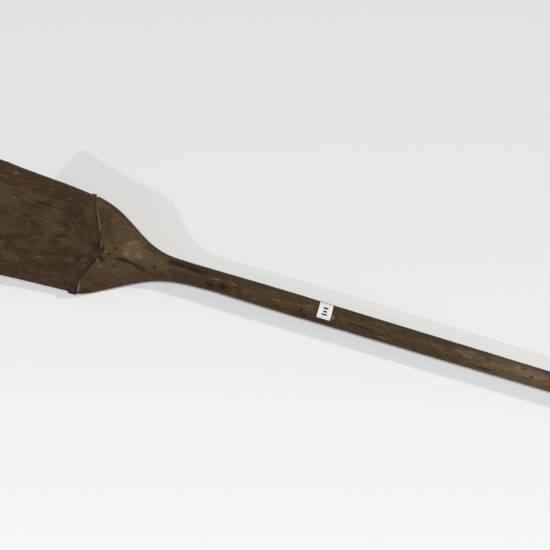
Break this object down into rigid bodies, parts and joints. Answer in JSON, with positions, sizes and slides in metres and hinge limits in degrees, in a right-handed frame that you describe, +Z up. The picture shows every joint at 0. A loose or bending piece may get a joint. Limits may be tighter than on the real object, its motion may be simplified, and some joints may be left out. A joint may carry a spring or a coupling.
{
  "type": "rowing oar",
  "caption": "Old wooden rowing oar with a curved spoon blade, sheathed on its hollow face, a round loom, leather sleeve and button, and a turned grip",
  "frame": {"origin": "centre of the bounding box on the floor, which the leather button touches; the loom's axis is at y 4.1 mm, z 32 mm", "axes": "+X along the oar from the blade's tip to the handle, +Z up from the floor that the oar lies on, with the blade's hollow face up; the oar lies rolled 14.5 degrees about +X, so the blade's edge on the +Y side is lifted, as it rests on its button and its other edge"},
  "size_m": [2.134, 0.1982, 0.0949],
  "materials": {
    "shaft_wood": "dark worn varnish",
    "board_wood": "dark red-brown worn varnish",
    "plate": "dull brown patina",
    "tacks": "dull",
    "nails": "dull",
    "iron": "dark rust",
    "label": "matt",
    "leather": "worn and greased"
  },
  "bodies": {
    "root": {"shaft": "shaft_wood", "blade_board": "board_wood", "face_plate": "plate", "plate_tacks": "tacks", "seam_nails": "nails", "clench_nails": "nails", "roves": "nails", "lower_edge_clip": "iron", "upper_edge_clip": "iron", "clip_nails": "iron", "stock_label": "label", "leather_sleeve": "leather", "sleeve_tacks": "tacks", "leather_button": "leather", "button_tacks": "tacks"}
  },
  "joints": []
}
